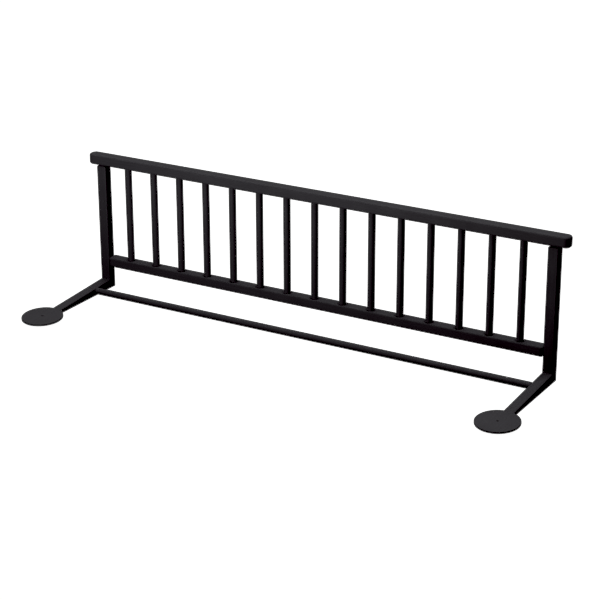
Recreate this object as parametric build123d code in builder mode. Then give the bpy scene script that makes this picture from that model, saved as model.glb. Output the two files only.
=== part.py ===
from build123d import *
from math import cos, radians, sin, tan
import os

# A child's bed guard rail in black-lacquered beech: a low balustrade that stands along the side of a
# bed. Two L-shaped side frames carry it. Their arms slide under the mattress, taper towards their tips
# and end in thin round discs, which the mattress presses down. A round crossbar ties the arms together.
#
# Frame: +X along the rail, +Z up. The arms point towards -Y. The origin is the centre of the
# footprint, level with the undersides of the arms. All sizes are in millimetres.

# ---- Driving dimensions --------------------------------------------------------------------------
top_rail_length = 1208.0
overall_height = 329.0
overall_depth = 318.0

top_rail_depth = 28.0
top_rail_height = 24.5
top_rail_corner = 12.0  # of its outline, seen from above
top_rail_round = 5.0  # of its upper and lower edges

bottom_rail_depth = 26.0
bottom_rail_height = 23.0
bottom_rail_underside = 56.4
bottom_rail_corner = 7.0
bottom_rail_round = 4.0

spindle_count = 15
spindle_pitch = 71.4
spindle_radius = 7.75
spindle_tenon = 11.5  # length inside each rail
spindle_chamfer = 1.0
socket_depth = 12.0
socket_mouth_radius = 12.0  # the bottom rail's sockets open with a countersink

post_width = 24.0  # along X
post_depth = 22.0  # along Y
post_spread = 1163.0  # between the outer faces of the two posts
post_top_round = 6.0  # of the front and back edges under the rail
post_top_side_round = 7.0
side_frame_round = 2.7  # of the side frames' long edges

arm_disc_height = 6.8  # under the centre of the disc
arm_top_angle = 3.6  # degrees, falling towards the tip
arm_past_disc_centre = 18.0
arm_inner_fillet = 10.0

finger_count = 5  # across a post's width: the post has the odd ones, the arm has the even ones

crossbar_radius = 7.75
crossbar_end_round = 2.0
crossbar_height = 11.5
crossbar_ahead = 64.0  # in front of the spindles

disc_radius = 47.2
disc_thickness = 4.4
disc_edge_round = 0.8

dowel_radius = 3.0
dowel_length = 30.0
dowel_chamfer = 0.8
dowel_hole_spare = 0.5  # hole deeper than the dowel at each end
rail_dowel_depth = 14.0  # into either rail's or the crossbar's end of the joint
post_dowel_spacing = 8.0

screw_length = 9.0
screw_radius = 1.75
screw_head_radius = 3.3
screw_sink = 0.35  # head below the disc's face
screw_core = 0.72  # the thread's core, as a share of its radius
screw_pitch = 1.3
screw_point = 2.6  # length of the plain tip
screw_recess_length = 3.0
screw_recess_width = 0.9
screw_recess_depth = 1.2
countersink_angle = 90.0

glue_gap = 0.03  # on each side of a glued joint
running_gap = 0.05  # around the disc's screw and under the disc

# ---- Places that follow from them ----------------------------------------------------------------
top_rail_underside = overall_height - top_rail_height
bottom_rail_top = bottom_rail_underside + bottom_rail_height
bottom_rail_middle = bottom_rail_underside + bottom_rail_height / 2
socket_radius = spindle_radius + glue_gap
dowel_hole_radius = dowel_radius + glue_gap
dowel_hole_depth = dowel_length - rail_dowel_depth + dowel_hole_spare

panel_y = overall_depth / 2 - top_rail_depth / 2
crossbar_y = panel_y - crossbar_ahead
post_front_y = panel_y - post_depth / 2
post_back_y = panel_y + post_depth / 2
post_x = post_spread / 2 - post_width / 2
inner_face_x = post_spread / 2 - post_width
bar_half_length = inner_face_x - glue_gap  # of the bottom rail and the crossbar

# The rounded rim of each tilted disc just reaches the front of the footprint.
tilt = radians(arm_top_angle)
rim_ahead = (disc_radius - disc_edge_round) * cos(tilt)
rim_ahead += (running_gap + disc_thickness - disc_edge_round) * sin(tilt)
rim_ahead += disc_edge_round
disc_y = rim_ahead - overall_depth / 2
arm_tip_y = disc_y - arm_past_disc_centre
arm_tip_height = arm_disc_height - arm_past_disc_centre * tan(tilt)
arm_root_height = arm_disc_height + (post_front_y - disc_y) * tan(tilt)

joint_front_y = post_front_y - arm_inner_fillet
joint_top_z = arm_root_height + arm_inner_fillet
finger_width = post_width / finger_count


def screw_outline():
    """Half of the disc screw's section, from the middle of its head to its tip."""
    head_height = screw_head_radius - screw_radius
    core_radius = screw_core * screw_radius
    outline = [(0, 0), (screw_head_radius, 0), (screw_radius, -head_height)]
    z = -head_height
    while z - screw_pitch > screw_point - screw_length:
        outline += [(core_radius, z - screw_pitch / 2), (screw_radius, z - screw_pitch)]
        z -= screw_pitch
    outline += [(core_radius, screw_point - screw_length), (0, -screw_length)]
    return outline


def save(piece, name):
    """Labels a finished piece and writes its STEP file."""
    piece.part.label = name
    export_step(piece.part, f"parts/{name}.step")


os.makedirs("parts", exist_ok=True)

# ---- Top rail: lies on the posts, with blind sockets for the spindles and the dowels --------------
with BuildPart() as top_rail:
    with BuildSketch(Plane.XY.offset(top_rail_underside)):
        with Locations((0, panel_y)):
            RectangleRounded(top_rail_length, top_rail_depth, top_rail_corner)
    extrude(amount=top_rail_height)
    fillet(edges().group_by(Axis.Z)[0] + edges().group_by(Axis.Z)[-1], top_rail_round)
    with BuildSketch(Plane.XY.offset(top_rail_underside)):
        with Locations((0, panel_y)):
            with GridLocations(spindle_pitch, 1, spindle_count, 1):
                Circle(socket_radius)
    extrude(amount=socket_depth, mode=Mode.SUBTRACT)
    with BuildSketch(Plane.XY.offset(top_rail_underside)):
        with Locations((-post_x, panel_y), (post_x, panel_y)):
            with GridLocations(post_dowel_spacing, 1, 2, 1):
                Circle(dowel_hole_radius)
    extrude(amount=rail_dowel_depth + dowel_hole_spare, mode=Mode.SUBTRACT)
save(top_rail, "top_rail")

# ---- Bottom rail: fits between the posts ---------------------------------------------------------
with BuildPart() as bottom_rail:
    with BuildSketch(Plane.XY.offset(bottom_rail_underside)):
        with Locations((0, panel_y)):
            RectangleRounded(2 * bar_half_length, bottom_rail_depth, bottom_rail_corner)
    extrude(amount=bottom_rail_height)
    fillet(edges().group_by(Axis.Z)[0] + edges().group_by(Axis.Z)[-1], bottom_rail_round)
    with Locations(Plane.XY.offset(bottom_rail_top)):
        with Locations((0, panel_y)):
            with GridLocations(spindle_pitch, 1, spindle_count, 1):
                CounterSinkHole(socket_radius, socket_mouth_radius, socket_depth, countersink_angle)
    with BuildSketch(Plane.YZ.offset(-bar_half_length), Plane.YZ.offset(bar_half_length)):
        with Locations((panel_y, bottom_rail_middle)):
            with GridLocations(post_dowel_spacing, 1, 2, 1):
                Circle(dowel_hole_radius)
    extrude(amount=rail_dowel_depth + dowel_hole_spare, both=True, mode=Mode.SUBTRACT)
save(bottom_rail, "bottom_rail")

# ---- Spindles ------------------------------------------------------------------------------------
for number in range(spindle_count):
    spindle_x = (number - (spindle_count - 1) / 2) * spindle_pitch
    with BuildPart() as spindle:
        with BuildSketch(Plane.XY.offset(bottom_rail_top - spindle_tenon)):
            with Locations((spindle_x, panel_y)):
                Circle(spindle_radius)
        extrude(amount=top_rail_underside - bottom_rail_top + 2 * spindle_tenon)
        chamfer(edges().filter_by(GeomType.CIRCLE), spindle_chamfer)
    save(spindle, f"spindle_{number + 1:02d}")

# ---- Crossbar: ties the two arms together --------------------------------------------------------
with BuildPart() as crossbar:
    with BuildSketch(Plane.YZ):
        with Locations((crossbar_y, crossbar_height)):
            Circle(crossbar_radius)
    extrude(amount=bar_half_length, both=True)
    fillet(edges().group_by(Axis.X)[0] + edges().group_by(Axis.X)[-1], crossbar_end_round)
    with BuildSketch(Plane.YZ.offset(-bar_half_length), Plane.YZ.offset(bar_half_length)):
        with Locations((crossbar_y, crossbar_height)):
            Circle(dowel_hole_radius)
    extrude(amount=rail_dowel_depth + dowel_hole_spare, both=True, mode=Mode.SUBTRACT)
save(crossbar, "crossbar")


# ---- Side frames: a post and an arm, finger-jointed at the corner --------------------------------
def arm_share(middle_x, gap):
    """The space that the arm takes of a side frame: everything ahead of the joint, and its fingers."""
    with BuildPart() as share:
        with Locations((middle_x, joint_front_y - gap, 0)):
            Box(
                2 * post_width,
                overall_depth,
                2 * joint_top_z,
                align=(Align.CENTER, Align.MAX, Align.CENTER),
            )
        with Locations((middle_x, panel_y, 0)):
            with GridLocations(2 * finger_width, 1, finger_count // 2, 1):
                Box(finger_width - 2 * gap, 2 * (panel_y - joint_front_y) + 2, 2 * (joint_top_z - gap))
    return share.part


for hand, side in (("left", -1), ("right", 1)):
    middle_x = side * post_x
    inner_plane = Plane.YZ.offset(side * inner_face_x)
    disc_bed = Plane(
        origin=(middle_x, disc_y, arm_disc_height), x_dir=(1, 0, 0), z_dir=(0, -sin(tilt), cos(tilt))
    )
    screw_seat = disc_bed.offset(running_gap + disc_thickness - screw_sink)

    with BuildPart() as side_frame:
        with BuildSketch(Plane.YZ.offset(middle_x)):
            with BuildLine():
                Polyline(
                    (post_back_y, 0),
                    (post_back_y, top_rail_underside - glue_gap),
                    (post_front_y, top_rail_underside - glue_gap),
                    (post_front_y, arm_root_height),
                    (arm_tip_y, arm_tip_height),
                    (arm_tip_y, 0),
                    close=True,
                )
            make_face()
            post_top = vertices().group_by(Axis.Y)[-1]
            inner_corner = vertices().group_by(Axis.Y)[-2]
            fillet(post_top, post_top_round)
            fillet(inner_corner, arm_inner_fillet)
        extrude(amount=post_width / 2, both=True)
        fillet(edges().group_by(Axis.X)[0] + edges().group_by(Axis.X)[-1], side_frame_round)
        with BuildSketch(Plane.XZ):
            with Locations((middle_x, 0)):
                RectangleRounded(post_width, 2 * (top_rail_underside - glue_gap), post_top_side_round)
        extrude(amount=overall_depth, both=True, mode=Mode.INTERSECT)
        with BuildSketch(Plane.XY.offset(top_rail_underside)):
            with Locations((middle_x, panel_y)):
                with GridLocations(post_dowel_spacing, 1, 2, 1):
                    Circle(dowel_hole_radius)
        extrude(amount=-dowel_hole_depth, mode=Mode.SUBTRACT)
        with BuildSketch(inner_plane):
            with Locations((panel_y, bottom_rail_middle)):
                with GridLocations(post_dowel_spacing, 1, 2, 1):
                    Circle(dowel_hole_radius)
            with Locations((crossbar_y, crossbar_height)):
                Circle(dowel_hole_radius)
        extrude(amount=side * dowel_hole_depth, mode=Mode.SUBTRACT)
        with Locations(screw_seat):
            Hole(screw_radius + glue_gap, screw_length + glue_gap)

    with BuildPart() as post:
        add(side_frame.part)
        add(arm_share(middle_x, 0), mode=Mode.SUBTRACT)
    save(post, f"{hand}_post")

    with BuildPart() as arm:
        add(side_frame.part)
        add(arm_share(middle_x, glue_gap), mode=Mode.INTERSECT)
    save(arm, f"{hand}_arm")

    # ---- Disc: turns on its screw ----------------------------------------------------------------
    with BuildPart() as disc:
        with BuildSketch(disc_bed.offset(running_gap)):
            Circle(disc_radius)
        extrude(amount=disc_thickness)
        fillet(edges().filter_by(GeomType.CIRCLE), disc_edge_round)
        with Locations(screw_seat):
            CounterSinkHole(
                screw_radius + running_gap,
                screw_head_radius + running_gap,
                counter_sink_angle=countersink_angle,
            )
    save(disc, f"{hand}_disc")

    # ---- Disc screw: countersunk, with a cross recess; its thread is drawn as rings ---------------
    with BuildPart() as screw:
        with BuildSketch(Plane(screw_seat.origin, x_dir=screw_seat.x_dir, z_dir=-screw_seat.y_dir)):
            with BuildLine():
                Polyline(*screw_outline(), close=True)
            make_face()
        revolve(axis=Axis(screw_seat.origin, screw_seat.z_dir))
        with BuildSketch(screw_seat):
            Rectangle(screw_recess_length, screw_recess_width)
            Rectangle(screw_recess_width, screw_recess_length)
        extrude(amount=-screw_recess_depth, mode=Mode.SUBTRACT)
    save(screw, f"{hand}_disc_screw")

    # ---- Dowels ----------------------------------------------------------------------------------
    with BuildPart() as top_dowels:
        with BuildSketch(Plane.XY.offset(top_rail_underside + rail_dowel_depth)):
            with Locations((middle_x, panel_y)):
                with GridLocations(post_dowel_spacing, 1, 2, 1):
                    Circle(dowel_radius)
        extrude(amount=-dowel_length)
        chamfer(edges().filter_by(GeomType.CIRCLE), dowel_chamfer)
    save(top_dowels, f"{hand}_top_rail_dowels")

    dowel_plane = inner_plane.offset(-side * rail_dowel_depth)
    with BuildPart() as bottom_dowels:
        with BuildSketch(dowel_plane):
            with Locations((panel_y, bottom_rail_middle)):
                with GridLocations(post_dowel_spacing, 1, 2, 1):
                    Circle(dowel_radius)
        extrude(amount=side * dowel_length)
        chamfer(edges().filter_by(GeomType.CIRCLE), dowel_chamfer)
    save(bottom_dowels, f"{hand}_bottom_rail_dowels")

    with BuildPart() as crossbar_dowel:
        with BuildSketch(dowel_plane):
            with Locations((crossbar_y, crossbar_height)):
                Circle(dowel_radius)
        extrude(amount=side * dowel_length)
        chamfer(edges().filter_by(GeomType.CIRCLE), dowel_chamfer)
    save(crossbar_dowel, f"{hand}_crossbar_dowel")
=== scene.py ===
"""Looks of the black bed guard rail: satin lacquer over beech, on a plain white studio floor."""

import math

import bpy
from mathutils import Matrix, Vector


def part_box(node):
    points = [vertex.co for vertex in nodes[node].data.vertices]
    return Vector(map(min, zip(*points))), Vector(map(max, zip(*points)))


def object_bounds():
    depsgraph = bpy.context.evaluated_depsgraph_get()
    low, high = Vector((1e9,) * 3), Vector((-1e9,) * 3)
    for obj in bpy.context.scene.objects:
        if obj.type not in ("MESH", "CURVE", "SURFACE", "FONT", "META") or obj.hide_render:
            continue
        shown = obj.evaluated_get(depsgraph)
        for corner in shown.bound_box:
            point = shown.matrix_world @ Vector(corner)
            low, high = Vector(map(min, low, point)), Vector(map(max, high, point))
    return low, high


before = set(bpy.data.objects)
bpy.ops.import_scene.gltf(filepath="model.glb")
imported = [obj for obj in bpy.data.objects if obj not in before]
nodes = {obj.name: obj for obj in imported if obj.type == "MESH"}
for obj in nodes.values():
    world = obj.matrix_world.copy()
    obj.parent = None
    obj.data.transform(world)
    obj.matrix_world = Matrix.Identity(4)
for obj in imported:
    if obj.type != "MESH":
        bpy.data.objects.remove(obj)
cad_low, cad_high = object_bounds()

# ---- Camera: a long lens from the right of the front, a little above ------------------------------
CAMERA_AZIMUTH = math.radians(30.5)
CAMERA_ELEVATION = math.radians(21.04)
CAMERA_ROLL = -0.0028
CAMERA_DISTANCE = 4.101
CAMERA_LENS = 112.14
CAMERA_SENSOR = 36.0
AIM_AHEAD_OF_PANEL = 0.080
AIM_HEIGHT = 0.1024
AIM_RIGHT = 0.0089

# ---- Lights: softboxes, each with its place, the way it shines, its size and its power in watts ---
OVERHEAD = {
    "place": (-0.06, 0.28, 5.0),
    "towards": (0.15, -0.20, -1.0),
    "width": 6.0,
    "height": 6.0,
    "power": 224.7,
}
# A card on the floor ahead of the guard. It lights the fronts.
FLOOR_BOUNCE = {
    "place": (-0.26, -0.98, 0.02),
    "towards": (0.0, 0.12, 1.0),
    "width": 0.65,
    "height": 0.20,
    "power": 16.8,
}
# Low and from the far left, so that it only reaches the back and the left: the camera sees neither.
BEHIND = {
    "place": (-1.3, 2.5, 0.04),
    "towards": (0.0, -1.0, -0.01),
    "width": 1.4,
    "height": 0.07,
    "power": 34.0,
}

# ---- The picture's tones --------------------------------------------------------------------------
BLACK_LEVEL = (0.0106, 0.0134, 0.0128)  # everything darker than this shows as black
# True up to the lacquer's brightest, and darker in between that and the white floor.
TONE_CURVE = ((0.055, 0.055), (0.16, 0.075), (0.52, 0.31))

# ---- Floor ----------------------------------------------------------------------------------------
FLOOR_HALF_SIZE = 14.0
FLOOR_WHITE = 1.06
FLOOR_SHADE = 0.97  # where the guard almost touches it
FLOOR_SHADE_REACH = 0.04
FLOOR_GAP = 0.0005  # between the floor and the guard

# ---- Finishes, linear colours ---------------------------------------------------------------------
LACQUER = (0.0515, 0.0530, 0.0587)
LACQUER_WORN = (0.085, 0.080, 0.080)
BEECH = (0.50, 0.33, 0.19)
BEECH_DARK = (0.36, 0.22, 0.12)
SCREW_BLACK = (0.034, 0.034, 0.037)

# ---- Patterns in the lacquer: repeats for each metre, along and across the grain where there are two
FIBRES = (9.0, 420.0)
PORES = (160.0, 1700.0)
PEEL = 520.0
CLOUD = 14.0
WEAR = 60.0
WEAR_RADIUS = 0.0012  # how far from an edge the lacquer is rubbed
FIBRE_HEIGHT = 0.00003
PORE_DEPTH = 0.00002
PEEL_HEIGHT = 0.00002

# ---- Patterns in the bare wood and on the screws --------------------------------------------------
BEECH_FIBRES = (20.0, 900.0)
BEECH_FLECKS = (300.0, 2200.0)
BEECH_FIBRE_HEIGHT = 0.00005
SCREW_RUB = 1500.0


class Shader:
    """A node material, built one node at a time around a Principled BSDF."""

    def __init__(self, name):
        self.material = bpy.data.materials.new(name)
        self.material.use_nodes = True
        self.tree = self.material.node_tree
        self.surface = self.tree.nodes["Principled BSDF"]

    def add(self, kind, inputs=None, **settings):
        """Adds a node. Each input is a value, or a socket to link from."""
        made = self.tree.nodes.new(kind)
        for key, value in settings.items():
            setattr(made, key, value)
        self.feed(made, inputs or {})
        return made

    def feed(self, made, inputs):
        """Sets a node's inputs to values, or links them from sockets."""
        for key, value in inputs.items():
            if isinstance(value, bpy.types.NodeSocket):
                self.tree.links.new(value, made.inputs[key])
            else:
                made.inputs[key].default_value = value

    def noise(self, place, scale, detail=3.0, roughness=0.5):
        """Even noise between 0 and 1, at the scale of 1/scale metres."""
        made = self.add(
            "ShaderNodeTexNoise",
            {"Vector": place, "Scale": scale, "Detail": detail, "Roughness": roughness},
        )
        return made.outputs["Fac"]

    def spread(self, value, low, high, to_low, to_high):
        """Maps low..high to to_low..to_high, and holds the ends."""
        made = self.add(
            "ShaderNodeMapRange",
            {"Value": value, "From Min": low, "From Max": high, "To Min": to_low, "To Max": to_high},
        )
        return made.outputs["Result"]

    def mix(self, share, first, second):
        """A colour between first and second."""
        made = self.add("ShaderNodeMix", data_type="RGBA")
        sockets = {s.identifier: s for s in made.inputs}
        for identifier, value in (("Factor_Float", share), ("A_Color", first), ("B_Color", second)):
            if isinstance(value, bpy.types.NodeSocket):
                self.tree.links.new(value, sockets[identifier])
            elif isinstance(value, tuple):
                sockets[identifier].default_value = (*value, 1.0)
            else:
                sockets[identifier].default_value = value
        return next(s for s in made.outputs if s.identifier == "Result_Color")

    def maths(self, operation, first, second):
        """A sum, product or other operation on two values."""
        made = self.add("ShaderNodeMath", {0: first, 1: second}, operation=operation)
        return made.outputs["Value"]

    def bump(self, height, depth, strength=1.0, under=None):
        """Raises the surface by height (0 to 1) times depth, in metres."""
        inputs = {"Height": height, "Distance": depth, "Strength": strength}
        if under is not None:
            inputs["Normal"] = under
        return self.add("ShaderNodeBump", inputs).outputs["Normal"]

    def edges(self, radius):
        """0 on flat faces, towards 1 where the surface turns within the radius."""
        rounded = self.add("ShaderNodeBevel", {"Radius": radius}, samples=4).outputs["Normal"]
        flat = self.add("ShaderNodeNewGeometry").outputs["Normal"]
        alike = self.add("ShaderNodeVectorMath", {0: rounded, 1: flat}, operation="DOT_PRODUCT")
        return self.spread(alike.outputs["Value"], 0.98, 0.80, 0.0, 1.0)

    def place(self, stretch=(1.0, 1.0, 1.0)):
        """The point in the row frame, in metres, scaled along each axis."""
        point = self.add("ShaderNodeTexCoord").outputs["Object"]
        return self.add("ShaderNodeMapping", {"Vector": point, "Scale": stretch}).outputs["Vector"]


def along_grain(grain, repeats):
    """A stretch with the first of two repeats on the grain's axis and the second on the other two."""
    along, across = repeats
    return tuple(along if axis == grain else across for axis in "XYZ")


def shade_of(colour, share):
    """The colour made darker or lighter."""
    return tuple(channel * share for channel in colour)


def lacquered_wood(name, grain):
    """Sprayed satin lacquer that lets a little of the wood's grain show through."""
    shader = Shader(name)
    plain = shader.place()
    fibres = shader.noise(shader.place(along_grain(grain, FIBRES)), 1.0, 4.0, 0.6)
    pores = shader.noise(shader.place(along_grain(grain, PORES)), 1.0, 2.0, 0.5)
    peel = shader.noise(plain, PEEL, 2.0, 0.4)
    cloud = shader.noise(plain, CLOUD, 3.0, 0.5)

    # Colour: streaks along the grain, slow clouds over them, and paler edges where they are rubbed.
    fibre_share = shader.spread(fibres, 0.3, 0.7, 0.0, 1.0)
    streaks = shader.mix(fibre_share, shade_of(LACQUER, 0.88), shade_of(LACQUER, 1.12))
    cloud_share = shader.spread(cloud, 0.35, 0.65, 0.0, 0.25)
    tone = shader.mix(cloud_share, streaks, shade_of(LACQUER, 0.75))
    rubbed = shader.spread(shader.noise(plain, WEAR), 0.45, 0.75, 0.0, 0.8)
    wear = shader.maths("MULTIPLY", shader.edges(WEAR_RADIUS), rubbed)
    colour = shader.mix(wear, tone, LACQUER_WORN)

    # Sheen: satin, a little uneven in the clouds and the pores.
    slow_sheen = shader.spread(cloud, 0.3, 0.7, 0.70, 0.78)
    fine_sheen = shader.spread(pores, 0.3, 0.7, -0.03, 0.05)
    roughness = shader.maths("ADD", slow_sheen, fine_sheen)

    # Relief: raised fibres, sunken pores, and the spray's orange peel.
    normal = shader.bump(fibres, FIBRE_HEIGHT)
    pore_height = shader.spread(pores, 0.30, 0.42, 0.0, 1.0)
    normal = shader.bump(pore_height, PORE_DEPTH, 0.6, normal)
    normal = shader.bump(peel, PEEL_HEIGHT, 0.7, normal)
    shader.feed(
        shader.surface,
        {"Base Color": colour, "Roughness": roughness, "Normal": normal, "Specular IOR Level": 0.5},
    )
    return shader.material


def bare_beech(name, grain):
    """The dowels inside the joints."""
    shader = Shader(name)
    fibres = shader.noise(shader.place(along_grain(grain, BEECH_FIBRES)), 1.0, 4.0, 0.6)
    flecks = shader.noise(shader.place(along_grain(grain, BEECH_FLECKS)), 1.0, 1.0, 0.5)
    tone = shader.mix(shader.spread(fibres, 0.3, 0.7, 0.0, 1.0), BEECH_DARK, BEECH)
    colour = shader.mix(shader.spread(flecks, 0.62, 0.72, 0.0, 0.6), tone, BEECH_DARK)
    normal = shader.bump(fibres, BEECH_FIBRE_HEIGHT)
    shader.feed(shader.surface, {"Base Color": colour, "Roughness": 0.7, "Normal": normal})
    return shader.material


def black_screw(name):
    """Black-plated steel, a little brighter where the driver has rubbed it."""
    shader = Shader(name)
    rub = shader.noise(shader.place(), SCREW_RUB, 2.0, 0.5)
    rub_share = shader.spread(rub, 0.5, 0.7, 0.0, 1.0)
    colour = shader.mix(rub_share, SCREW_BLACK, shade_of(SCREW_BLACK, 1.6))
    roughness = shader.spread(rub, 0.3, 0.7, 0.45, 0.6)
    shader.feed(shader.surface, {"Base Color": colour, "Metallic": 0.3, "Roughness": roughness})
    return shader.material


def dress(node_names, material):
    """Gives CAD nodes one material."""
    for name in node_names:
        mesh = nodes[name].data
        mesh.materials.clear()
        mesh.materials.append(material)


spindles = [n for n in nodes if n.startswith("spindle_")]
upright_dowels = [n for n in nodes if n.endswith("top_rail_dowels")]
level_dowels = [n for n in nodes if n.endswith(("bottom_rail_dowels", "crossbar_dowel"))]
screws = [n for n in nodes if n.endswith("disc_screw")]
dress(["top_rail", "bottom_rail", "crossbar"], lacquered_wood("lacquered_rails", "X"))
dress(["left_arm", "right_arm", "left_disc", "right_disc"], lacquered_wood("lacquered_arms", "Y"))
dress(["left_post", "right_post"] + spindles, lacquered_wood("lacquered_posts", "Z"))
dress(upright_dowels, bare_beech("beech_upright", "Z"))
dress(level_dowels, bare_beech("beech_level", "X"))
dress(screws, black_screw("black_screws"))


# ---- Stage ----------------------------------------------------------------------------------------
def make_floor():
    """A white floor that only the camera sees, so that it doesn't light the guard from below."""
    mesh = bpy.data.meshes.new("floor")
    signs = ((-1, -1), (1, -1), (1, 1), (-1, 1))
    corners = [(x * FLOOR_HALF_SIZE, y * FLOOR_HALF_SIZE, 0.0) for x, y in signs]
    mesh.from_pydata(corners, [], [(0, 1, 2, 3)])
    floor = bpy.data.objects.new("floor", mesh)
    floor.location.z = cad_low.z - FLOOR_GAP
    bpy.context.scene.collection.objects.link(floor)
    shader = Shader("white_floor")
    shade = shader.add("ShaderNodeAmbientOcclusion", {"Distance": FLOOR_SHADE_REACH}, samples=16)
    shader.feed(
        shader.surface,
        {
            "Base Color": (0.0, 0.0, 0.0, 1.0),
            "Specular IOR Level": 0.0,
            "Emission Color": (1.0, 1.0, 1.0, 1.0),
            "Emission Strength": shader.spread(shade.outputs["AO"], 0.0, 1.0, FLOOR_SHADE, FLOOR_WHITE),
        },
    )
    mesh.materials.append(shader.material)
    floor.visible_diffuse = False
    floor.visible_glossy = False


def make_world():
    """White behind the floor's edge for the camera, and dark for everything that the lacquer mirrors."""
    world = bpy.data.worlds.new("studio")
    bpy.context.scene.world = world
    world.use_nodes = True
    tree = world.node_tree
    path = tree.nodes.new("ShaderNodeLightPath")
    tree.links.new(path.outputs["Is Camera Ray"], tree.nodes["Background"].inputs["Strength"])
    white = (FLOOR_WHITE, FLOOR_WHITE, FLOOR_WHITE, 1.0)
    tree.nodes["Background"].inputs["Color"].default_value = white


def add_softbox(name, place, towards, width, height, power):
    """A rectangular softbox at `place`, shining along `towards`, with its width kept square to +Y."""
    data = bpy.data.lights.new(name, "AREA")
    data.shape = "RECTANGLE"
    data.size = width
    data.size_y = height
    data.energy = power
    beam = Vector(towards).normalized()
    across = beam.cross(Vector((0.0, 1.0, 0.0))).normalized()
    turn = Matrix((across, across.cross(beam), -beam)).transposed()
    light = bpy.data.objects.new(name, data)
    light.matrix_world = Matrix.Translation(Vector(place)) @ turn.to_4x4()
    light.visible_camera = False
    bpy.context.scene.collection.objects.link(light)


add_softbox("overhead", **OVERHEAD)
add_softbox("floor_bounce", **FLOOR_BOUNCE)
add_softbox("behind", **BEHIND)


# ---- Camera ---------------------------------------------------------------------------------------
def make_camera():
    """Looks at a point a little ahead of the panel, which keeps its place when the guard changes."""
    panel_y = sum(c.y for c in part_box("top_rail")) / 2
    aim = Vector((AIM_RIGHT, panel_y - AIM_AHEAD_OF_PANEL, AIM_HEIGHT))
    level = math.cos(CAMERA_ELEVATION)
    ahead = Vector((math.sin(CAMERA_AZIMUTH), -math.cos(CAMERA_AZIMUTH), 0.0))
    back = ahead * level + Vector((0.0, 0.0, math.sin(CAMERA_ELEVATION)))
    right = Vector((math.cos(CAMERA_AZIMUTH), math.sin(CAMERA_AZIMUTH), 0.0))
    upright = Matrix((right, back.cross(right), back)).transposed()
    turn = upright @ Matrix.Rotation(CAMERA_ROLL, 3, "Z")
    data = bpy.data.cameras.new("camera")
    data.lens = CAMERA_LENS
    data.sensor_width = CAMERA_SENSOR
    data.clip_end = 100.0
    camera = bpy.data.objects.new("camera", data)
    camera.matrix_world = Matrix.Translation(aim + back * CAMERA_DISTANCE) @ turn.to_4x4()
    bpy.context.scene.collection.objects.link(camera)
    bpy.context.scene.camera = camera


def set_tones():
    """Bends the picture's tones as a contrasty product photo does: deep blacks and firm outlines."""
    view = bpy.context.scene.view_settings
    view.view_transform = "Standard"
    view.use_curve_mapping = True
    view.curve_mapping.black_level = BLACK_LEVEL
    every_channel = view.curve_mapping.curves[3]
    for point in TONE_CURVE:
        every_channel.points.new(*point)
    for point in every_channel.points:
        point.handle_type = "VECTOR"
    view.curve_mapping.update()


make_floor()
make_world()
make_camera()
set_tones()
